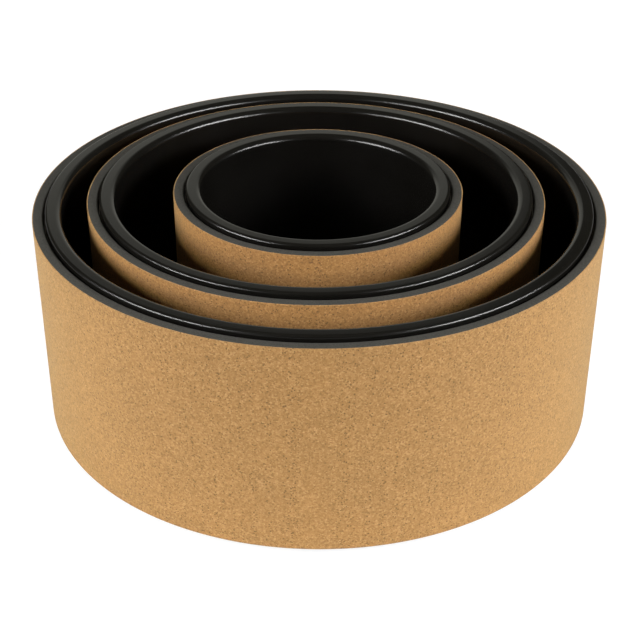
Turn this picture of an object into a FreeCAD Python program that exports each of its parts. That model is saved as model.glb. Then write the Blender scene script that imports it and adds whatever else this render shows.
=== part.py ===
import FreeCAD
import Part
import Sketcher
import math
import os

# Nested set of three yoga wheels, each lying on its side face with its axis upright.
# A wheel is a rigid plastic hoop with rounded rims, wrapped in a foam strip and a thin cork sheet.
# Millimetres, +Z up, floor at Z = 0, origin on the axis of the large wheel, photographed front at -Y.

DRIVING_SIZES = (
    ("large_diameter", 330, "outer diameter of the large wheel, over the cork"),
    ("wheel_width", 131, "width of every wheel, from rim to rim"),
    ("hoop_wall", 9.3, "wall of the plastic hoop"),
    ("rim_rise", 2.8, "how far each rim of the hoop stands out past the strips around it"),
    ("rim_outer_round", 1.8, "rounding of the rim's outer shoulder"),
    ("rim_inner_round", 3.5, "rounding of the rim's inner shoulder"),
    ("tape_thickness", 0.3, "double-sided tape between hoop and foam"),
    ("foam_thickness", 5.5, "foam strip that cushions the wheel"),
    ("foam_edge_round", 2.4, "rounding of the foam's inner edges, which leaves a groove beside the rim"),
    ("film_thickness", 0.3, "adhesive film between foam and cork"),
    ("cork_thickness", 0.5, "cork sheet"),
    ("layer_gap", 0.15, "hairline between one wrapped layer and the next"),
    ("bond_inset", 1, "how far tape and film stop short of the faces they bond"),
    ("seam_gap", 0.3, "hairline left where the two ends of a wrapped strip meet"),
    ("foam_seam_turn", 20, "degrees from the cork's seam, at the back, to the foam's seam"),
    ("medium_clearance", 14.9, "room all round between the large bore and the medium wheel"),
    ("small_clearance", 31.9, "room all round between the medium bore and the small wheel"),
    ("medium_aside", -1.9, "where the medium wheel stands in the large one, along X"),
    ("medium_back", 9.6, "where the medium wheel stands in the large one, along Y"),
    ("small_aside", -0.8, "where the small wheel stands in the large one, along X"),
    ("small_back", 13.3, "where the small wheel stands in the large one, along Y"),
)

# The revolved strips leave their gap on the -X side, so a quarter turn brings it to the back.
GAP_TO_BACK = -90

doc = FreeCAD.newDocument("YogaWheelSet")
sizes = doc.addObject("Spreadsheet::Sheet", "Sizes")
for row, (alias, value, meaning) in enumerate(DRIVING_SIZES, start=1):
    sizes.set(f"A{row}", meaning)
    sizes.set(f"B{row}", str(value))
    sizes.setAlias(f"B{row}", alias)
doc.recompute()


def length(alias):
    """The expression for a driving size as a length."""
    return f"Sizes.{alias} * 1 mm"


def bore_of(section):
    """The expression for the inner radius of the ring revolved from a section."""
    return f"{section.Name}.Constraints.outer_radius - {section.Name}.Constraints.wall"


def inner_radius(section):
    """The inner radius of the ring revolved from a section, as it stands now, in mm."""
    return section.getDatum("outer_radius").Value - section.getDatum("wall").Value


def draw_section(body, outer_radius, wall, height):
    """A rectangle beside the wheel's axis, centred on mid-width, sized by three expressions."""
    section = body.newObject("Sketcher::SketchObject", body.Name + "_section")
    planes = {feature.Role: feature for feature in body.Origin.OriginFeatures}
    section.AttachmentSupport = [(planes["XZ_Plane"], "")]
    section.MapMode = "FlatFace"

    # The corners are only a first sketch: the constraints below give them their places.
    inner, outer, half = 50, 60, 30
    corners = ((inner, -half), (outer, -half), (outer, half), (inner, half))
    points = [FreeCAD.Vector(x, y, 0) for x, y in corners]
    for start, end in zip(points, points[1:] + points[:1]):
        section.addGeometry(Part.LineSegment(start, end), False)
    bottom, right, top, left = range(4)
    first, last, axes, horizontal_axis = 1, 2, -1, -1
    for line, following in ((bottom, right), (right, top), (top, left), (left, bottom)):
        section.addConstraint(Sketcher.Constraint("Coincident", line, last, following, first))
    for line in (bottom, top):
        section.addConstraint(Sketcher.Constraint("Horizontal", line))
    section.addConstraint(Sketcher.Constraint("Vertical", left))
    section.addConstraint(
        Sketcher.Constraint("Symmetric", right, first, right, last, horizontal_axis)
    )

    driving = (
        ("outer_radius", ("DistanceX", axes, first, right, first, outer), outer_radius),
        ("wall", ("DistanceX", bottom, first, bottom, last, outer - inner), wall),
        ("height", ("DistanceY", right, first, right, last, 2 * half), height),
    )
    for name, definition, expression in driving:
        index = section.addConstraint(Sketcher.Constraint(*definition))
        section.renameConstraint(index, name)
        section.setExpression(f"Constraints.{name}", expression)
    return section


def revolve(body, section):
    """The section turned once round the wheel's axis."""
    ring = body.newObject("PartDesign::Revolution", body.Name + "_turn")
    ring.Profile = section
    ring.ReferenceAxis = (section, ["V_Axis"])
    ring.Angle = 360
    return ring


def place(body, aside, back, turn=None):
    """Stand a piece on the floor with its axis at the wheel's place, turned about that axis."""
    body.Placement = FreeCAD.Placement(
        FreeCAD.Vector(), FreeCAD.Rotation(FreeCAD.Vector(0, 0, 1), GAP_TO_BACK)
    )
    body.setExpression(".Placement.Base.x", aside)
    body.setExpression(".Placement.Base.y", back)
    body.setExpression(".Placement.Base.z", length("wheel_width") + " / 2")
    if turn:
        body.setExpression(".Placement.Rotation.Angle", turn)


def round_edges(body, base, radius, rounding, name):
    """Round the two circular edges of a given radius, one on each side of the wheel."""
    edges = [
        f"Edge{number}"
        for number, edge in enumerate(base.Shape.Edges, start=1)
        if isinstance(edge.Curve, Part.Circle) and math.isclose(edge.Curve.Radius, radius)
    ]
    fillet = body.newObject("PartDesign::Fillet", body.Name + name)
    fillet.Base = (base, edges)
    fillet.setExpression("Radius", length(rounding))
    doc.recompute()
    return fillet


def make_strip(label, outer_radius, thickness, width, site, seam_turn, inner_rounding=None):
    """A strip wrapped once round the wheel, its two ends meeting in a butt seam."""
    body = doc.addObject("PartDesign::Body", label)
    section = draw_section(body, outer_radius, length(thickness), width)
    wrap = revolve(body, section)
    wrap.Midplane = True
    gap_angle = f"{length('seam_gap')} / ({bore_of(section)}) * 180 deg / pi"
    wrap.setExpression("Angle", f"360 deg - {gap_angle}")
    place(body, *site, turn=f"{GAP_TO_BACK} deg + {seam_turn}")
    if inner_rounding:
        doc.recompute()
        round_edges(body, wrap, inner_radius(section), inner_rounding, "_inner_edges")
    return body, section


def make_hoop(label, outer_radius, site):
    """The rigid hoop, with both shoulders of both rims rounded."""
    body = doc.addObject("PartDesign::Body", label)
    section = draw_section(body, outer_radius, length("hoop_wall"), length("wheel_width"))
    ring = revolve(body, section)
    place(body, *site)
    doc.recompute()
    outside = section.getDatum("outer_radius").Value
    rounded = round_edges(body, ring, outside, "rim_outer_round", "_outer_shoulders")
    round_edges(body, rounded, inner_radius(section), "rim_inner_round", "_inner_shoulders")
    return body, section


def make_wheel(name, outer_radius, aside, back):
    """One wheel, made from the cork inwards: each layer seats in the bore of the one around it."""
    strip_width = f"{length('wheel_width')} - 2 * {length('rim_rise')}"
    film_width = f"{strip_width} - 2 * {length('bond_inset')}"
    tape_width = f"{film_width} - 2 * {length('foam_edge_round')}"
    cork_seam = "0 deg"
    foam_seam = "Sizes.foam_seam_turn * 1 deg"
    layers = (
        ("cork_cover", "cork_thickness", strip_width, cork_seam, None),
        ("cork_film", "film_thickness", film_width, cork_seam, None),
        ("foam_pad", "foam_thickness", strip_width, foam_seam, "foam_edge_round"),
        ("foam_tape", "tape_thickness", tape_width, foam_seam, None),
    )
    site = (aside, back)
    pieces = []
    seat = outer_radius
    for layer, thickness, width, seam_turn, inner_rounding in layers:
        body, section = make_strip(
            f"{name}_{layer}", seat, thickness, width, site, seam_turn, inner_rounding
        )
        pieces.append(body)
        seat = f"{bore_of(section)} - {length('layer_gap')}"
    hoop, section = make_hoop(f"{name}_hoop", seat, site)
    return pieces + [hoop], bore_of(section)


def check(pieces):
    """Stop if any feature failed or any piece is not one sound solid."""
    for item in doc.Objects:
        if {"Invalid", "Error"} & set(item.State):
            raise RuntimeError(f"{item.Name} failed: {item.State}")
    for piece in pieces:
        shape = piece.Shape
        if shape.isNull() or not shape.isValid() or len(shape.Solids) != 1:
            raise RuntimeError(f"{piece.Label} is not one valid solid")


large, large_bore = make_wheel("large", length("large_diameter") + " / 2", "0 mm", "0 mm")
medium, medium_bore = make_wheel(
    "medium",
    f"{large_bore} - {length('medium_clearance')}",
    length("medium_aside"),
    length("medium_back"),
)
small, small_bore = make_wheel(
    "small",
    f"{medium_bore} - {length('small_clearance')}",
    length("small_aside"),
    length("small_back"),
)

wheel_pieces = large + medium + small
doc.recompute()
check(wheel_pieces)

os.makedirs("parts", exist_ok=True)
for piece in wheel_pieces:
    piece.Shape.exportStep(f"parts/{piece.Label}.step")
    box = piece.Shape.BoundBox
    print(
        f"{piece.Label}: {box.XLength:.2f} x {box.YLength:.2f} x {box.ZLength:.2f} mm, "
        f"{piece.Shape.Volume / 1000:.1f} cm3"
    )
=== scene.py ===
# %% [markdown]
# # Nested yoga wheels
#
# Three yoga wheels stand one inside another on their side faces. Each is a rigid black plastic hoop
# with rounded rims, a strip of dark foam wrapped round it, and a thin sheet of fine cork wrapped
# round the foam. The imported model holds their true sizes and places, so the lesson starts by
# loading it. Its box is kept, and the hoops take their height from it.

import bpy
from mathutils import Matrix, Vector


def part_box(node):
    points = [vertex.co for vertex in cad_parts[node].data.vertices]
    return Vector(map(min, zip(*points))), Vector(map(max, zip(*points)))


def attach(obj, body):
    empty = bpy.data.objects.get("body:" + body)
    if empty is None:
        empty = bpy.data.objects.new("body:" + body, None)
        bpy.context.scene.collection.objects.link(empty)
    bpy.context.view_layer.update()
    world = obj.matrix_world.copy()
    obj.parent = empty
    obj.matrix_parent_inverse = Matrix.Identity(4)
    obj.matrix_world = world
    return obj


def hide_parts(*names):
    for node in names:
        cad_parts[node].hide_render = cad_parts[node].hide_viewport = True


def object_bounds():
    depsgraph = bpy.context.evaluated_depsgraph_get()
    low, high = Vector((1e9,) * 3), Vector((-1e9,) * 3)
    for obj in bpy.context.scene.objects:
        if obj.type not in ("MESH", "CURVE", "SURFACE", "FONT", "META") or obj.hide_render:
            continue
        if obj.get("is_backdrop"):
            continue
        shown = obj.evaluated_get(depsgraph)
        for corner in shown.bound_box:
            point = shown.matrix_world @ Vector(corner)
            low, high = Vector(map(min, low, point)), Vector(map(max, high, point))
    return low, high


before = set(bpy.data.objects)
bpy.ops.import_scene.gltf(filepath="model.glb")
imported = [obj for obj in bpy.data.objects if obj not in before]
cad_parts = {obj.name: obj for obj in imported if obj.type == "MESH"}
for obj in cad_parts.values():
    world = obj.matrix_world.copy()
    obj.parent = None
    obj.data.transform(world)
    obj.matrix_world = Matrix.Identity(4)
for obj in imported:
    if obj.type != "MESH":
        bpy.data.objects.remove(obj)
cad_low, cad_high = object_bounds()
print("packed nodes:", ", ".join(sorted(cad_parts)))

# %% [markdown]
# ## The sizes that everything follows
#
# The three wheels share one cross-section, so its thicknesses are written once, in millimetres.
# Where each wheel stands and how wide it is could be typed in as well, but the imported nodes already
# know it. The cork cover is the outermost piece of a wheel, so its box gives the axis, the outer
# radius and the height, and the looks can't drift away from the solids.

# %% Name the sizes of the section and find each wheel
import math

import bmesh
import bpy
from mathutils import Matrix, Vector

MM = 0.001
WHEELS = ("large", "medium", "small")
CORK_THICKNESS = 0.5 * MM
FOAM_THICKNESS = 5.5 * MM
FILM_THICKNESS = 0.3 * MM
TAPE_THICKNESS = 0.3 * MM
LAYER_GAP = 0.15 * MM
HOOP_WALL = 9.3 * MM


def wheel_place(wheel):
    """A wheel's axis on the floor, its outer radius, and the lower and upper edge of its cork."""
    low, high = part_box(f"{wheel}_cork_cover")
    middle = (low + high) / 2
    return Vector((middle.x, middle.y, 0)), (high.x - low.x) / 2, low.z, high.z


for wheel in WHEELS:
    axis, radius, bottom, top = wheel_place(wheel)
    print(
        f"{wheel}: axis at {axis.x / MM:.1f}, {axis.y / MM:.1f} mm, radius {radius / MM:.1f} mm,",
        f"cork from {bottom / MM:.1f} to {top / MM:.1f} mm",
    )

# %% [markdown]
# ## Helpers for the finishes
#
# Colours are written as the sRGB hex values that a paint chart gives, and Blender shades in linear
# light, so one function converts them. Another adds a shader node, sets it up and links its inputs.
# With it, each finish below reads as a list of what feeds what. The third starts an empty material.

# %% Colour and node helpers


def linear(hex_colour):
    """An sRGB hex colour as linear red, green and blue, with full opacity."""
    channels = [int(hex_colour[place:place + 2], 16) / 255 for place in (1, 3, 5)]
    return [c / 12.92 if c <= 0.04045 else ((c + 0.055) / 1.055) ** 2.4 for c in channels] + [1.0]


def add(tree, kind, links=None, values=None, stops=None, **settings):
    """Add a node with its settings, input values, links from other outputs and colour stops."""
    node = tree.nodes.new(kind)
    for name, value in settings.items():
        setattr(node, name, value)
    for socket, value in (values or {}).items():
        node.inputs[socket].default_value = value
    for socket, source in (links or {}).items():
        tree.links.new(source, node.inputs[socket])
    if stops:
        elements = node.color_ramp.elements
        while len(elements) < len(stops):
            elements.new(1.0)
        for element, (position, hex_colour) in zip(elements, stops):
            element.position = position
            element.color = linear(hex_colour)
    return node


def new_finish(name):
    """An empty material: its node tree, its shader, and the place of each point on the piece."""
    material = bpy.data.materials.new(name)
    material.use_nodes = True
    tree = material.node_tree
    tree.nodes.clear()
    shader = add(tree, "ShaderNodeBsdfPrincipled")
    add(tree, "ShaderNodeOutputMaterial", {"Surface": shader.outputs["BSDF"]})
    point = add(tree, "ShaderNodeTexCoord").outputs["Object"]
    return material, tree, shader, point


print(f"the grey #808080 is {linear('#808080')[0]:.3f} in linear light")

# %% [markdown]
# ## Agglomerated cork: the granules
#
# The sheet is ground bark pressed into a block with a binder, and sliced. The eye sees tan granules
# about a millimetre across, each with its own tint, and thin darker lines of binder between them. A
# flat picture could be wrapped round the wheel, but it would stretch and meet itself at a seam. A
# cut through solid Voronoi cells has neither fault, and it is what the real sheet is: a slice
# through packed granules. A noise bends the cell walls, which would be too straight by themselves.

# %% Granules and binder
GRANULE = 0.9 * MM
WOBBLE = 0.7 * GRANULE
BINDER_REACH = 0.14
BINDER_STRENGTH = 0.35


def cork_granules(tree, point):
    """Bent places, each granule's random numbers, the distance to its border, and the colour."""
    warp = add(
        tree, "ShaderNodeTexNoise", {"Vector": point}, {"Scale": 1 / GRANULE, "Detail": 1.0}
    )
    bent = add(
        tree, "ShaderNodeVectorMath", {0: warp.outputs["Color"], 2: point}, {1: [WOBBLE] * 3},
        operation="MULTIPLY_ADD",
    ).outputs["Vector"]
    cells = add(tree, "ShaderNodeTexVoronoi", {"Vector": bent}, {"Scale": 1 / GRANULE})
    lottery = add(tree, "ShaderNodeSeparateColor", {"Color": cells.outputs["Color"]}).outputs
    tint = add(
        tree, "ShaderNodeValToRGB", {"Fac": lottery["Red"]},
        stops=(
            (0.0, "#875c2d"), (0.2, "#996b36"), (0.55, "#a57641"), (0.85, "#ae8049"),
            (1.0, "#b98b56"),
        ),
    )
    border = add(
        tree, "ShaderNodeTexVoronoi", {"Vector": bent}, {"Scale": 1 / GRANULE},
        feature="DISTANCE_TO_EDGE",
    ).outputs["Distance"]
    binder = add(
        tree, "ShaderNodeMapRange", {"Value": border},
        {"From Min": 0.0, "From Max": BINDER_REACH, "To Min": BINDER_STRENGTH, "To Max": 0.0},
    )
    bound = add(
        tree, "ShaderNodeMix", {"Factor": binder.outputs["Result"], "A": tint.outputs["Color"]},
        {"B": linear("#905f2c")}, data_type="RGBA",
    ).outputs["Result"]
    return bent, lottery, border, bound


print(f"cork granules of {GRANULE / MM:.1f} mm")

# %% [markdown]
# ## Agglomerated cork: the bark flecks
#
# Dark bits of outer bark are sprinkled through the block. Dots of one size on a grid would look
# printed. So a second, coarser set of cells draws a lot for each cell: a quarter of them stay bare,
# and each of the others holds a fleck as big as its lot.

# %% Flecks
FLECK_SPACING = 1.4 * MM
FLECK_SIZE = 0.42
BARE_CELLS = 0.25
FLECK_EDGE = 0.06
FLECK_STRENGTH = 0.85


def add_flecks(tree, bent, ground):
    """The ground colour with dark flecks in it."""
    cells = add(tree, "ShaderNodeTexVoronoi", {"Vector": bent}, {"Scale": 1 / FLECK_SPACING})
    lot = add(tree, "ShaderNodeSeparateColor", {"Color": cells.outputs["Color"]})
    reach = add(
        tree, "ShaderNodeMapRange", {"Value": lot.outputs["Green"]},
        {"From Min": BARE_CELLS, "From Max": 1.0, "To Min": 0.0, "To Max": FLECK_SIZE},
    )
    inside = add(
        tree, "ShaderNodeMath", {0: reach.outputs["Result"], 1: cells.outputs["Distance"]},
        operation="SUBTRACT",
    )
    fleck = add(
        tree, "ShaderNodeMapRange", {"Value": inside.outputs["Value"]},
        {"From Min": 0.0, "From Max": FLECK_EDGE, "To Min": 0.0, "To Max": FLECK_STRENGTH},
    )
    return add(
        tree, "ShaderNodeMix", {"Factor": fleck.outputs["Result"], "A": ground},
        {"B": linear("#5f3a0a")}, data_type="RGBA",
    ).outputs["Result"]


print(f"bark flecks up to {2 * FLECK_SIZE * FLECK_SPACING / MM:.1f} mm across")

# %% [markdown]
# ## Agglomerated cork: tone and surface
#
# Fine grain and slow, hand-sized drifts of tone keep the sheet from looking flat. The cork of the
# two inner wheels shows mostly down in the shaded gaps, so it gets a redder tint, multiplied in at
# the end: painted shade, standing for the warm shade there. The sanded face has a fine nap, which
# turns a little paler and more straw-coloured where it is seen at a slant: that is the sheen. Its
# pores swallow most of the gloss, so the specular level is low.

# %% Tone, gloss and relief of the cork
FINE_GRAIN, GRAIN_SWING = 0.5 * MM, 0.15
MOTTLE, MOTTLE_SWING = 24 * MM, 0.035
CORK_RELIEF = 0.06 * MM


def cork_shade(tree, grain, point):
    """How much lighter or darker than its granules the sheet is at each point."""
    mottle = add(
        tree, "ShaderNodeTexNoise", {"Vector": point}, {"Scale": 1 / MOTTLE, "Detail": 3.0}
    )
    shade = add(
        tree, "ShaderNodeMapRange", {"Value": grain},
        {"From Min": 0.25, "From Max": 0.75, "To Min": 1 - GRAIN_SWING, "To Max": 1 + GRAIN_SWING},
    )
    drift = add(
        tree, "ShaderNodeMapRange", {"Value": mottle.outputs["Fac"]},
        {"From Min": 0.3, "From Max": 0.7, "To Min": 1 - MOTTLE_SWING, "To Max": 1 + MOTTLE_SWING},
    )
    return add(
        tree, "ShaderNodeMath", {0: shade.outputs["Result"], 1: drift.outputs["Result"]},
        operation="MULTIPLY",
    ).outputs["Value"]


def finish_cork_surface(tree, shader, lottery, border, grain):
    """Uneven gloss from granule to granule, shallow relief, and the bloom of the sanded face."""
    roughness = add(
        tree, "ShaderNodeMapRange", {"Value": lottery["Blue"]},
        {"From Min": 0.0, "From Max": 1.0, "To Min": 0.5, "To Max": 0.66},
    )
    height = add(tree, "ShaderNodeMath", {0: border, 1: grain}, operation="ADD")
    bump = add(
        tree, "ShaderNodeBump", {"Height": height.outputs["Value"]},
        {"Distance": CORK_RELIEF, "Strength": 0.6},
    )
    tree.links.new(roughness.outputs["Result"], shader.inputs["Roughness"])
    tree.links.new(bump.outputs["Normal"], shader.inputs["Normal"])
    shader.inputs["IOR"].default_value = 1.45
    shader.inputs["Specular IOR Level"].default_value = 0.2
    shader.inputs["Sheen Weight"].default_value = 0.26
    shader.inputs["Sheen Roughness"].default_value = 0.75
    shader.inputs["Sheen Tint"].default_value = linear("#fff8bc")


print(f"cork grain of {FINE_GRAIN / MM} mm, mottle of {MOTTLE / MM:.0f} mm")

# %% [markdown]
# ## Agglomerated cork: plain and shade-tinted
#
# The steps above are now put together, once plain for the outer wheel and once with the
# painted-shade tint for the inner wheels. Copying a finished material and recolouring it would also
# work, but then a later change to the recipe would have to be made twice.

# %% Make the plain cork and the shade-tinted cork
OUTER_NO_TINT = (1.0, 1.0, 1.0)
# The inner wheels' tint is painted shade: it reddens their cork as the warm shade in the gaps does.
INNER_PAINTED_SHADE_TINT = (0.99, 0.89, 0.73)


def make_cork(name, shade_tint):
    material, tree, shader, point = new_finish(name)
    bent, lottery, border, bound = cork_granules(tree, point)
    flecked = add_flecks(tree, bent, bound)
    grain = add(
        tree, "ShaderNodeTexNoise", {"Vector": point}, {"Scale": 1 / FINE_GRAIN, "Detail": 2.0}
    ).outputs["Fac"]
    shaded = add(
        tree, "ShaderNodeVectorMath", {0: flecked, "Scale": cork_shade(tree, grain, point)},
        operation="SCALE",
    )
    # This multiplies in the painted-shade tint; the outer wheel's tint is neutral.
    toned = add(
        tree, "ShaderNodeVectorMath", {0: shaded.outputs["Vector"]}, {1: shade_tint},
        operation="MULTIPLY",
    )
    tree.links.new(toned.outputs["Vector"], shader.inputs["Base Color"])
    finish_cork_surface(tree, shader, lottery, border, grain)
    print(f"{name}: shade tint {shade_tint}")
    return material


outer_cork = make_cork("agglomerated_cork_sheet", OUTER_NO_TINT)
# The inner wheels get the cork with painted shade in its tint.
shade_tinted_cork = make_cork("shade_tinted_agglomerated_cork_sheet", INNER_PAINTED_SHADE_TINT)
cork_of = {"large": outer_cork, "medium": shade_tinted_cork, "small": shade_tinted_cork}

# %% [markdown]
# ## Moulded black ABS
#
# The hoop is extruded or moulded ABS, black right through, with a satin skin. It hardly scatters
# any light of its own, so nearly all that shows is reflection: a soft image of the room on the flat
# rim, and thin bright lines where a rounded shoulder catches a lamp. A perfectly smooth shader
# would look like glass, so a very shallow orange peel and a slow drift of roughness break the
# reflection up a little, as on a real moulding.

# %% Make the plastic
ORANGE_PEEL = 3.0 * MM
PEEL_RELIEF = 0.004 * MM
POLISH_PATCH = 35 * MM


def make_plastic():
    material, tree, shader, point = new_finish("satin_black_abs")
    patch = add(
        tree, "ShaderNodeTexNoise", {"Vector": point}, {"Scale": 1 / POLISH_PATCH, "Detail": 4.0}
    ).outputs["Fac"]
    roughness = add(
        tree, "ShaderNodeMapRange", {"Value": patch},
        {"From Min": 0.3, "From Max": 0.7, "To Min": 0.14, "To Max": 0.19},
    )
    tone = add(
        tree, "ShaderNodeValToRGB", {"Fac": patch}, stops=((0.3, "#0d0c0a"), (0.7, "#11100e"))
    )
    peel = add(
        tree, "ShaderNodeTexNoise", {"Vector": point}, {"Scale": 1 / ORANGE_PEEL, "Detail": 1.0}
    )
    bump = add(
        tree, "ShaderNodeBump", {"Height": peel.outputs["Fac"]},
        {"Distance": PEEL_RELIEF, "Strength": 0.5},
    )
    tree.links.new(tone.outputs["Color"], shader.inputs["Base Color"])
    tree.links.new(roughness.outputs["Result"], shader.inputs["Roughness"])
    tree.links.new(bump.outputs["Normal"], shader.inputs["Normal"])
    shader.inputs["IOR"].default_value = 1.5
    return material


plastic = make_plastic()
print(f"{plastic.name}: orange peel of {ORANGE_PEEL / MM} mm")

# %% [markdown]
# ## Closed-cell foam
#
# The padding is a charcoal sheet foam, cut to width, so its edge shows cells sliced open. Real
# cells are a few tenths of a millimetre; they are drawn at 0.6 mm here, because finer ones would
# vanish in the picture. Foam has no gloss to speak of, so the roughness is high, and each cell gets
# its own slightly different grey and a dimple in the bump.

# %% Make the foam
FOAM_CELL = 0.6 * MM
CELL_RELIEF = 0.12 * MM


def make_foam():
    material, tree, shader, point = new_finish("charcoal_closed_cell_foam")
    cells = add(tree, "ShaderNodeTexVoronoi", {"Vector": point}, {"Scale": 1 / FOAM_CELL})
    lottery = add(tree, "ShaderNodeSeparateColor", {"Color": cells.outputs["Color"]}).outputs
    tone = add(
        tree, "ShaderNodeValToRGB", {"Fac": lottery["Red"]},
        stops=((0.0, "#3a3934"), (1.0, "#474640")),
    )
    roughness = add(
        tree, "ShaderNodeMapRange", {"Value": lottery["Green"]},
        {"From Min": 0.0, "From Max": 1.0, "To Min": 0.75, "To Max": 0.95},
    )
    bump = add(
        tree, "ShaderNodeBump", {"Height": cells.outputs["Distance"]},
        {"Distance": CELL_RELIEF, "Strength": 0.5},
    )
    tree.links.new(tone.outputs["Color"], shader.inputs["Base Color"])
    tree.links.new(roughness.outputs["Result"], shader.inputs["Roughness"])
    tree.links.new(bump.outputs["Normal"], shader.inputs["Normal"])
    shader.inputs["IOR"].default_value = 1.45
    shader.inputs["Specular IOR Level"].default_value = 0.2
    return material


foam = make_foam()
print(f"{foam.name}: cells of {FOAM_CELL / MM} mm")

# %% [markdown]
# ## The adhesives
#
# A double-sided tape holds the foam on the hoop, and a film of adhesive holds the cork on the foam.
# Only their edges could ever be seen, deep between the layers. Both are a milky polymer that dries
# a little unevenly, so a streaky noise moves the tone and the gloss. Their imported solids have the
# right shape, so they stay and only get this finish.

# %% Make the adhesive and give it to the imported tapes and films
GLUE_STREAK = 9 * MM


def make_adhesive():
    material, tree, shader, point = new_finish("dried_acrylic_adhesive")
    streak = add(
        tree, "ShaderNodeTexNoise", {"Vector": point}, {"Scale": 1 / GLUE_STREAK, "Detail": 3.0}
    ).outputs["Fac"]
    tone = add(
        tree, "ShaderNodeValToRGB", {"Fac": streak}, stops=((0.3, "#a9a391"), (0.7, "#bdb7a5"))
    )
    roughness = add(
        tree, "ShaderNodeMapRange", {"Value": streak},
        {"From Min": 0.3, "From Max": 0.7, "To Min": 0.35, "To Max": 0.55},
    )
    tree.links.new(tone.outputs["Color"], shader.inputs["Base Color"])
    tree.links.new(roughness.outputs["Result"], shader.inputs["Roughness"])
    return material


adhesive = make_adhesive()
for wheel in WHEELS:
    for layer in ("foam_tape", "cork_film"):
        for material_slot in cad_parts[f"{wheel}_{layer}"].material_slots:
            material_slot.material = adhesive
print(f"{adhesive.name}: on {2 * len(WHEELS)} packed nodes")

# %% [markdown]
# ## Rings from one section
#
# Hoop, foam and cork are all rings: a small cross-section carried once round the wheel's axis. A
# torus or a pipe primitive has the wrong section. Instead a few corner points make a flat face, a
# vertex bevel rounds each corner by its own radius, and Spin carries the face round. For a closed
# ring the face is dropped, so that Spin can weld the end to the start. For a strip it stays: Spin
# stops a hair short, and the face caps both ends of the butt seam.

# %% The ring maker
ROUND_SEGMENTS = 10
STEP_LENGTH = 2.5 * MM
WELD_DISTANCE = 0.001 * MM
SHARP_ANGLE = math.radians(40)


def spin_section(shape, corners, gap):
    """Round the section's corners and carry it round Z, stopping short by the gap's angle."""
    points = [shape.verts.new((radius, 0, height)) for radius, height, _ in corners]
    shape.faces.new(points)
    for point, (_, _, rounding) in zip(points, corners):
        if rounding:
            bmesh.ops.bevel(
                shape, geom=[point], offset=rounding, affect="VERTICES", segments=ROUND_SEGMENTS,
                profile=0.5, material=-1,
            )
    closed = gap == 0
    if closed:
        bmesh.ops.delete(shape, geom=shape.faces[:], context="FACES_ONLY")
    outer_radius = max(radius for radius, _, _ in corners)
    gap_angle = gap / outer_radius
    bmesh.ops.spin(
        shape, geom=shape.verts[:] + shape.edges[:] + shape.faces[:], cent=(0, 0, 0),
        axis=(0, 0, 1), dvec=(0, 0, 0), angle=2 * math.pi - gap_angle,
        steps=round(2 * math.pi * outer_radius / STEP_LENGTH), use_merge=closed,
        use_duplicate=False,
    )
    bmesh.ops.remove_doubles(shape, verts=shape.verts[:], dist=WELD_DISTANCE)
    bmesh.ops.recalc_face_normals(shape, faces=shape.faces[:])
    return gap_angle


def turn_ring(name, corners, axis, gap=0.0, gap_at=0.0):
    """A ring round an axis. Corners are (radius, height, rounding); the gap lies at an angle."""
    shape = bmesh.new()
    gap_angle = spin_section(shape, corners, gap)
    turn = Matrix.Rotation(gap_at + gap_angle / 2, 3, "Z")
    bmesh.ops.rotate(shape, verts=shape.verts[:], cent=(0, 0, 0), matrix=turn)
    bmesh.ops.translate(shape, verts=shape.verts[:], vec=axis)
    mesh = bpy.data.meshes.new(name)
    shape.to_mesh(mesh)
    shape.free()
    mesh.polygons.foreach_set("use_smooth", [True] * len(mesh.polygons))
    mesh.set_sharp_from_angle(angle=SHARP_ANGLE)
    piece = bpy.data.objects.new(name, mesh)
    bpy.context.scene.collection.objects.link(piece)
    flat_faces = piece.modifiers.new("flat faces stay flat", "WEIGHTED_NORMAL")
    flat_faces.keep_sharp = True
    return piece


def dress(piece, wheel, node, finish):
    """Give a ring its finish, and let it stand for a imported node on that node's wheel."""
    piece.data.materials.append(finish)
    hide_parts(f"{wheel}_{node}")
    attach(piece, f"{wheel}_wheel")
    print(f"{piece.name}: {len(piece.data.polygons)} faces, stands for {wheel}_{node}")


print(f"{ROUND_SEGMENTS} facets to a rounding, steps of {STEP_LENGTH / MM} mm round a ring")

# %% [markdown]
# ## The hoops
#
# The hoop is the wheel's skeleton, and the only piece that touches the floor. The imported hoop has
# the right shape, but its facets would break the thin highlights on the shoulders. Turning it again
# with ten facets to each shoulder keeps those lines smooth. The outer shoulder is tight, and the
# inner one, where a hand holds the wheel, is generous.

# %% Turn the three hoops
RIM_OUTER_ROUND = 1.8 * MM
RIM_INNER_ROUND = 3.5 * MM
COVERING = CORK_THICKNESS + FILM_THICKNESS + FOAM_THICKNESS + TAPE_THICKNESS + 4 * LAYER_GAP

for wheel in WHEELS:
    axis, radius, _, _ = wheel_place(wheel)
    outside = radius - COVERING
    inside = outside - HOOP_WALL
    low, high = cad_low.z, cad_high.z
    hoop = turn_ring(
        f"{wheel}_moulded_hoop",
        (
            (inside, low, RIM_INNER_ROUND), (outside, low, RIM_OUTER_ROUND),
            (outside, high, RIM_OUTER_ROUND), (inside, high, RIM_INNER_ROUND),
        ),
        axis,
    )
    dress(hoop, wheel, "hoop", plastic)

# %% [markdown]
# ## The foam strips
#
# A strip of foam is wrapped round each hoop, and its two ends meet in a hairline seam at the back.
# Knife-cut foam relaxes at its edge: next to the hoop it rounds off and leaves a dark groove beside
# the rim, and next to the cork it swells over the film's edge until it touches the sheet. The small
# lip in the section is that swelling.

# %% Turn the three foam strips
FOAM_EDGE_ROUND = 1.5 * MM
SEAM_GAP = 0.3 * MM
BACK = math.radians(90)
FOAM_SEAM_AT = BACK + math.radians(20)
LIP_HEIGHT = 0.8 * MM
LIP_CLEARANCE = 0.04 * MM
LIP_ROUND = 0.25 * MM

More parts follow.
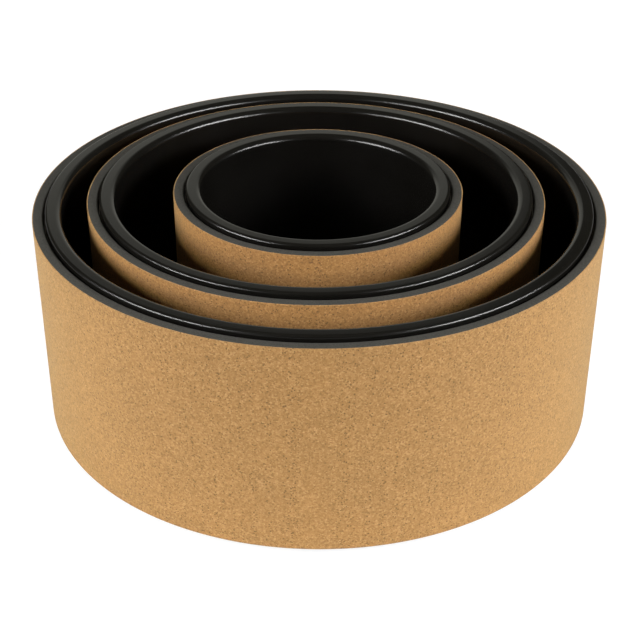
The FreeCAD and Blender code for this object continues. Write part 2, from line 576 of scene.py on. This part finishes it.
for wheel in WHEELS:
    axis, radius, low, high = wheel_place(wheel)
    lip = radius - CORK_THICKNESS - LIP_CLEARANCE
    outside = radius - CORK_THICKNESS - FILM_THICKNESS - 2 * LAYER_GAP
    inside = outside - FOAM_THICKNESS
    strip = turn_ring(
        f"{wheel}_foam_strip",
        (
            (inside, low, FOAM_EDGE_ROUND), (lip, low, LIP_ROUND), (lip, low + LIP_HEIGHT, 0),
            (outside, low + LIP_HEIGHT, 0), (outside, high - LIP_HEIGHT, 0),
            (lip, high - LIP_HEIGHT, 0), (lip, high, LIP_ROUND), (inside, high, FOAM_EDGE_ROUND),
        ),
        axis, SEAM_GAP, FOAM_SEAM_AT,
    )
    dress(strip, wheel, "foam_pad", foam)

# %% [markdown]
# ## The cork sheets
#
# The cork is a single sheet half a millimetre thick, bonded round the foam and butted together at
# the back. It could be a plain cylinder, but then it would have no edge, and the thin line of cut
# cork beside the foam is what shows that the wheel is wrapped. So it is a thin ring with its outer
# corners just broken, as a cut sheet's are.

# %% Turn the three cork sheets
CORK_EDGE_ROUND = 0.25 * MM

for wheel in WHEELS:
    axis, radius, low, high = wheel_place(wheel)
    inside = radius - CORK_THICKNESS
    sheet = turn_ring(
        f"{wheel}_cork_sheet",
        (
            (inside, low, 0), (radius, low, CORK_EDGE_ROUND),
            (radius, high, CORK_EDGE_ROUND), (inside, high, 0),
        ),
        axis, SEAM_GAP, BACK,
    )
    dress(sheet, wheel, "cork_cover", cork_of[wheel])

# %% [markdown]
# ## The room
#
# The wheels stand on a white floor in a dim room, and nearly all their light comes from two lamps.
# The world's colour does three jobs, told apart by what kind of ray asks. To the camera it is plain
# white. As light it is a weak, warm ceiling that keeps the gaps between the wheels from going quite
# black. In reflections it is a dim room, because black plastic that mirrored a white one would look
# grey.

# %% Make the world
FILL = 0.08
world = bpy.data.worlds.new("white_studio")
bpy.context.scene.world = world
world.use_nodes = True
room = world.node_tree
room.nodes.clear()
direction = add(room, "ShaderNodeTexCoord").outputs["Generated"]
height = add(room, "ShaderNodeSeparateXYZ", {"Vector": direction}).outputs["Z"]
ceiling = add(
    room, "ShaderNodeValToRGB", {"Fac": height},
    stops=((0.0, "#cfbca7"), (0.4, "#ffe7ce"), (0.8, "#ffe7ce")),
).outputs["Color"]
dim_room = add(
    room, "ShaderNodeValToRGB", {"Fac": height},
    stops=((0.0, "#38362e"), (0.6, "#4a483e"), (1.0, "#67655a")),
).outputs["Color"]
seen = add(
    room, "ShaderNodeBackground", values={"Color": linear("#ffffff"), "Strength": 1.0}
).outputs["Background"]
mirrored = add(
    room, "ShaderNodeBackground", {"Color": dim_room}, {"Strength": 1.0}
).outputs["Background"]
lighting = add(
    room, "ShaderNodeBackground", {"Color": ceiling}, {"Strength": FILL}
).outputs["Background"]
ray = add(room, "ShaderNodeLightPath").outputs
mirror_ray = add(
    room, "ShaderNodeMath", {0: ray["Is Glossy Ray"], 1: ray["Is Transmission Ray"]},
    operation="MAXIMUM",
).outputs["Value"]
unseen = add(room, "ShaderNodeMixShader", {0: mirror_ray, 1: lighting, 2: mirrored})
whole = add(
    room, "ShaderNodeMixShader", {0: ray["Is Camera Ray"], 1: unseen.outputs["Shader"], 2: seen}
)
add(room, "ShaderNodeOutputWorld", {"Surface": whole.outputs["Shader"]})
print(f"world: fill {FILL}")

# %% [markdown]
# ## The floor as it is seen
#
# The floor is white card. Seen by the camera it has to be as white as the world behind it, and
# still show the wheels' soft shadow. So a view of it is mostly glow, and near the wheels a small
# share is left for the lamps and the shadow to move. Inside the wheels the glow is painted grey,
# lighter in the middle and darker towards the walls: a painted shadow, drawn by distance and not
# cast. Reflections get part of the glow, but only from outside the wheels, so the floor they
# mirror inside the wheels is painted dark as shade.

# %% The glow of the card
GLOW_REACH = 2.0
# Inside 0.15 m these stops are a painted shadow: the floor in and under the wheels is drawn grey by
# distance, darkest near the walls.
GLOW_AND_PAINTED_SHADOW = (
    (0.0, "#b0b0b0"), (0.07, "#8c8c8c"), (0.15, "#7c7c7c"), (0.158, "#f0f0f0"), (0.5, "#f0f0f0"),
    (1.5, "#ffffff"),
)
MIRRORED_SHARE = 0.5
# Reflections see no glow within the wheels: painted shade on the mirrored floor there.
MIRROR_FROM, MIRROR_TO = 0.165, 0.25
SHADOWED_TONE = "#7c7c7c"


def card_as_seen(tree, ray, distance):
    """What the camera and reflections see: a glow that changes with distance, painted grey as shadow
    inside the wheels, and the cast shadow.
    """
    direct = add(
        tree, "ShaderNodeMath", {0: ray["Is Camera Ray"], 1: ray["Is Transmission Ray"]},
        operation="MAXIMUM",
    )
    outside = add(
        tree, "ShaderNodeMapRange", {"Value": distance},
        {"From Min": MIRROR_FROM, "From Max": MIRROR_TO, "To Min": 0.0, "To Max": MIRRORED_SHARE},
    )
    mirrored = add(
        tree, "ShaderNodeMath", {0: ray["Is Glossy Ray"], 1: outside.outputs["Result"]},
        operation="MULTIPLY",
    )
    share = add(
        tree, "ShaderNodeMath", {0: direct.outputs["Value"], 1: mirrored.outputs["Value"]},
        operation="MAXIMUM",
    )
    along = add(tree, "ShaderNodeMath", {0: distance}, {1: GLOW_REACH}, operation="DIVIDE")
    # The ramp holds the even white glow and, inside the wheels, the painted shadow.
    level = add(
        tree, "ShaderNodeValToRGB", {"Fac": along.outputs["Value"]},
        stops=[(metres / GLOW_REACH, tone) for metres, tone in GLOW_AND_PAINTED_SHADOW],
    )
    glow = add(
        tree, "ShaderNodeEmission",
        {"Color": level.outputs["Color"], "Strength": share.outputs["Value"]},
    )
    shadow = add(tree, "ShaderNodeBsdfDiffuse", values={"Color": linear(SHADOWED_TONE)})
    return add(
        tree, "ShaderNodeAddShader", {0: shadow.outputs["BSDF"], 1: glow.outputs["Emission"]}
    ).outputs["Shader"]


print(f"card: glow changes at {', '.join(str(metres) for metres, _ in GLOW_AND_PAINTED_SHADOW)} m from the middle")

# %% [markdown]
# ## The floor as it gives light
#
# White card also throws light back at the cork. A wide white floor would light the whole side of a
# wheel. Here the light comes back only from near the wheels, as if from a small table, and that
# leaves the lower cork a little lighter than the upper, as in the photograph.

# %% Make the floor
FLOOR_HALF = 4.0
CARD_FIBRE = 4 * MM
BOUNCE_FROM, BOUNCE_TO = 0.26, 0.42
NEAR_BOUNCE, FAR_BOUNCE = 1.0, 0.1


def card_as_light(tree, point, distance):
    """What the cork gets back from the card: much from near the wheels, little from far away."""
    fibre = add(
        tree, "ShaderNodeTexNoise", {"Vector": point}, {"Scale": 1 / CARD_FIBRE, "Detail": 2.0}
    )
    tone = add(
        tree, "ShaderNodeValToRGB", {"Fac": fibre.outputs["Fac"]},
        stops=((0.3, "#f6f6f6"), (0.7, "#fbfbfb")),
    )
    reach = add(
        tree, "ShaderNodeMapRange", {"Value": distance},
        {
            "From Min": BOUNCE_FROM, "From Max": BOUNCE_TO,
            "To Min": NEAR_BOUNCE, "To Max": FAR_BOUNCE,
        },
    )
    lit = add(
        tree, "ShaderNodeVectorMath",
        {0: tone.outputs["Color"], "Scale": reach.outputs["Result"]}, operation="SCALE",
    )
    return add(tree, "ShaderNodeBsdfDiffuse", {"Color": lit.outputs["Vector"]}).outputs["BSDF"]


def make_floor_card():
    material, tree, shader, point = new_finish("matt_white_card")
    tree.nodes.remove(shader)
    ray = add(tree, "ShaderNodeLightPath").outputs
    distance = add(
        tree, "ShaderNodeVectorMath", {0: point}, operation="LENGTH"
    ).outputs["Value"]
    either = add(
        tree, "ShaderNodeMixShader",
        {
            0: ray["Is Diffuse Ray"], 1: card_as_seen(tree, ray, distance),
            2: card_as_light(tree, point, distance),
        },
    )
    surface = tree.nodes["Material Output"].inputs["Surface"]
    tree.links.new(either.outputs["Shader"], surface)
    return material


def stage_panel(name, corners, material):
    """A flat panel that belongs to the studio, not to the wheels."""
    shape = bmesh.new()
    shape.faces.new([shape.verts.new(corner) for corner in corners])
    mesh = bpy.data.meshes.new(name)
    shape.to_mesh(mesh)
    shape.free()
    mesh.materials.append(material)
    panel = bpy.data.objects.new(name, mesh)
    bpy.context.scene.collection.objects.link(panel)
    panel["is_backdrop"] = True
    return panel


far = FLOOR_HALF
stage_panel(
    "floor", ((-far, -far, 0), (far, -far, 0), (far, far, 0), (-far, far, 0)), make_floor_card()
)
print(f"floor: {2 * FLOOR_HALF} m square")

# %% [markdown]
# ## The card behind
#
# The flat rims mirror what stands behind the wheels: a pale card, a little to the left, that fades
# out at its top and at its right edge. That is why the rims are lighter at the back and on the
# left. A card that the camera and the cork can't see, only reflections, gives the rims their sheen
# and leaves the rest of the light alone.

# %% Stand up the card
CARD_DISTANCE = 1.0
CARD_LEFT, CARD_RIGHT, CARD_TOP = -0.6, 0.36, 0.95
CARD_GLOW = 0.5
FADE_UP_FROM, FADED_GLOW = 0.45, 0.1
FADE_RIGHT_FROM, FADED_SHARE = 0.15, 0.1


def make_pale_card():
    material, tree, shader, point = new_finish("pale_backdrop_card")
    tree.nodes.remove(shader)
    place = add(tree, "ShaderNodeSeparateXYZ", {"Vector": point}).outputs
    upward = add(
        tree, "ShaderNodeMapRange", {"Value": place["Z"]},
        {
            "From Min": FADE_UP_FROM, "From Max": CARD_TOP,
            "To Min": CARD_GLOW, "To Max": FADED_GLOW,
        },
        interpolation_type="SMOOTHSTEP",
    )
    sideways = add(
        tree, "ShaderNodeMapRange", {"Value": place["X"]},
        {
            "From Min": FADE_RIGHT_FROM, "From Max": CARD_RIGHT,
            "To Min": 1.0, "To Max": FADED_SHARE,
        },
        interpolation_type="SMOOTHSTEP",
    )
    strength = add(
        tree, "ShaderNodeMath", {0: upward.outputs["Result"], 1: sideways.outputs["Result"]},
        operation="MULTIPLY",
    )
    glow = add(
        tree, "ShaderNodeEmission", {"Strength": strength.outputs["Value"]},
        {"Color": linear("#fffef0")},
    )
    surface = tree.nodes["Material Output"].inputs["Surface"]
    tree.links.new(glow.outputs["Emission"], surface)
    return material


back = CARD_DISTANCE
card = stage_panel(
    "pale_card",
    (
        (CARD_LEFT, back, 0), (CARD_RIGHT, back, 0),
        (CARD_RIGHT, back, CARD_TOP), (CARD_LEFT, back, CARD_TOP),
    ),
    make_pale_card(),
)
card.visible_camera = False
card.visible_diffuse = False
card.visible_shadow = False
print(f"card: {CARD_RIGHT - CARD_LEFT:.2f} m wide, {CARD_DISTANCE} m behind")

# %% [markdown]
# ## The lamps
#
# Two wide softboxes stand left and right in front of the wheels, about sixty degrees to either side
# of the camera and a quarter of a right angle up. The photograph says so in three ways. A thin
# bright line runs along the outer shoulders at the front left and front right, and none in the
# middle. The cork is a little lighter at the sides than in the middle, where both lamps strike it
# at a slant. In the gaps, a slanting shadow climbs towards each side.
#
# Black plastic mirrors its lamps, and a whole softbox would turn a flat rim white when it is seen
# from behind. So each softbox is hidden from reflections, and a narrow bright strip in the same
# place is seen by them alone: it draws the thin lines on the shoulders. A strip lights nothing
# after a bounce, so none of it spills into the gaps. A weak third softbox keeps the back of the
# cork from going dull.

# %% Make the softboxes
AIM = Vector((0, 0, 0.09))
LAMP_DISTANCE, LAMP_WIDTH = 1.3, 1.0
STRIP_HEIGHT = 0.1
# Side, azimuth and elevation in degrees, height in metres, radiance, and the strip's radiance.
SIDES = (
    ("left", 208, 23.5, 0.5, 12.6, 200.0),
    ("right", -27, 22, 0.45, 14.5, 230.0),
)
BACK_AZIMUTH, BACK_ELEVATION, BACK_HEIGHT, BACK_RADIANCE = 90, 14, 0.5, 3.5


def softbox(name, azimuth, elevation, height, radiance):
    """An oblong lamp that faces the wheels. Radiance 1 would look like a white card."""
    light = bpy.data.lights.new(name, "AREA")
    light.shape = "RECTANGLE"
    light.size = LAMP_WIDTH
    light.size_y = height
    light.energy = radiance * math.pi * LAMP_WIDTH * height
    lamp = bpy.data.objects.new(name, light)
    turn, rise = math.radians(azimuth), math.radians(elevation)
    level = math.cos(rise)
    toward = Vector((level * math.cos(turn), level * math.sin(turn), math.sin(rise)))
    lamp.location = AIM + LAMP_DISTANCE * toward
    lamp.rotation_euler = toward.to_track_quat("Z", "Y").to_euler()
    lamp.visible_camera = False
    bpy.context.scene.collection.objects.link(lamp)
    print(f"{name}: {light.energy:.0f} W")
    return lamp


for side, azimuth, elevation, height, radiance, strip_radiance in SIDES:
    lamp = softbox(f"{side}_softbox", azimuth, elevation, height, radiance)
    lamp.visible_glossy = False
    strip = softbox(f"{side}_strip", azimuth, elevation, STRIP_HEIGHT, strip_radiance)
    strip.visible_diffuse = False
    strip.data.cycles.max_bounces = 0

lamp = softbox("back_softbox", BACK_AZIMUTH, BACK_ELEVATION, BACK_HEIGHT, BACK_RADIANCE)
lamp.visible_glossy = False

# %% [markdown]
# ## The camera
#
# The camera looks down at the nest from the front. Its place, its lens and its small tilts were
# worked out from the shape of the rims, so the wheels fill the frame as they do in the photograph.
# The tilts are turned one after another: roll about the view, pitch from straight down, then yaw
# about the upright.

# %% Make the camera
PITCH_DOWN, YAW, ROLL = math.radians(31.288), math.radians(0.101), math.radians(0.24)
SENSOR_WIDTH, FOCAL_LENGTH = 36.0, 78.45
CAMERA_AT = Vector((-0.6, -731.7, 489.1)) * MM

lens = bpy.data.cameras.new("camera")
lens.sensor_width = SENSOR_WIDTH
lens.lens = FOCAL_LENGTH
camera = bpy.data.objects.new("camera", lens)
camera.matrix_world = (
    Matrix.Translation(CAMERA_AT)
    @ Matrix.Rotation(-YAW, 4, "Z")
    @ Matrix.Rotation(math.radians(90) - PITCH_DOWN, 4, "X")
    @ Matrix.Rotation(ROLL, 4, "Z")
)
bpy.context.scene.collection.objects.link(camera)
bpy.context.scene.camera = camera
bpy.context.scene.view_settings.view_transform = "Standard"
print("camera at", [round(value, 3) for value in camera.location])

# %% [markdown]
# ## Last measure
#
# The dressed wheels have to be as big as the imported ones, so their box is measured again.

# %% Measure the dressed wheels
low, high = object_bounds()
